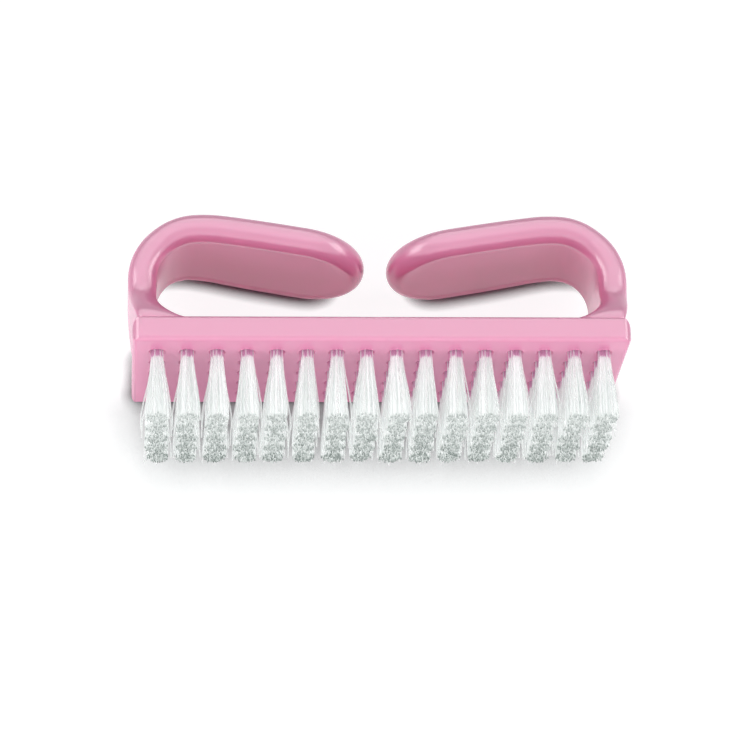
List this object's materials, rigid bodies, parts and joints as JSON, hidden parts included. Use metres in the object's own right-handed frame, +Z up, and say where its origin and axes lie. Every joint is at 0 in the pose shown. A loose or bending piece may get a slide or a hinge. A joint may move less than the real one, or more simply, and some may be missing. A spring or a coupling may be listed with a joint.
{
  "type": "nail brush",
  "caption": "Nail brush: a moulded block with rows of stapled bristle tufts below and two curled finger arms above, their paddle ends nearly meeting; it lies on its long side",
  "frame": {"origin": "middle of the box on X and Y, at the surface the brush lies on", "axes": "+X along the block's length, to the right as seen from the bristles; -Y is the side the bristles point to and +Y the side of the finger arms; +Z up. The brush lies on its long side and leans about 10.9 degrees, because the arms are narrower than the block"},
  "size_m": [0.0966, 0.046, 0.034],
  "materials": {
    "body_plastic": "satin-gloss injection-moulded polypropylene, pale pink",
    "bristle_nylon": "translucent natural nylon filament, cut ends",
    "anchor_wire": "drawn flat wire, unpainted"
  },
  "bodies": {
    "root": {"body": "body_plastic", "tuft_column_01": "bristle_nylon", "tuft_column_02": "bristle_nylon", "tuft_column_03": "bristle_nylon", "tuft_column_04": "bristle_nylon", "tuft_column_05": "bristle_nylon", "tuft_column_06": "bristle_nylon", "tuft_column_07": "bristle_nylon", "tuft_column_08": "bristle_nylon", "tuft_column_09": "bristle_nylon", "tuft_column_10": "bristle_nylon", "tuft_column_11": "bristle_nylon", "tuft_column_12": "bristle_nylon", "tuft_column_13": "bristle_nylon", "tuft_column_14": "bristle_nylon", "tuft_column_15": "bristle_nylon", "tuft_column_16": "bristle_nylon", "anchor_column_01": "anchor_wire", "anchor_column_02": "anchor_wire", "anchor_column_03": "anchor_wire", "anchor_column_04": "anchor_wire", "anchor_column_05": "anchor_wire", "anchor_column_06": "anchor_wire", "anchor_column_07": "anchor_wire", "anchor_column_08": "anchor_wire", "anchor_column_09": "anchor_wire", "anchor_column_10": "anchor_wire", "anchor_column_11": "anchor_wire", "anchor_column_12": "anchor_wire", "anchor_column_13": "anchor_wire", "anchor_column_14": "anchor_wire", "anchor_column_15": "anchor_wire", "anchor_column_16": "anchor_wire"}
  },
  "joints": []
}
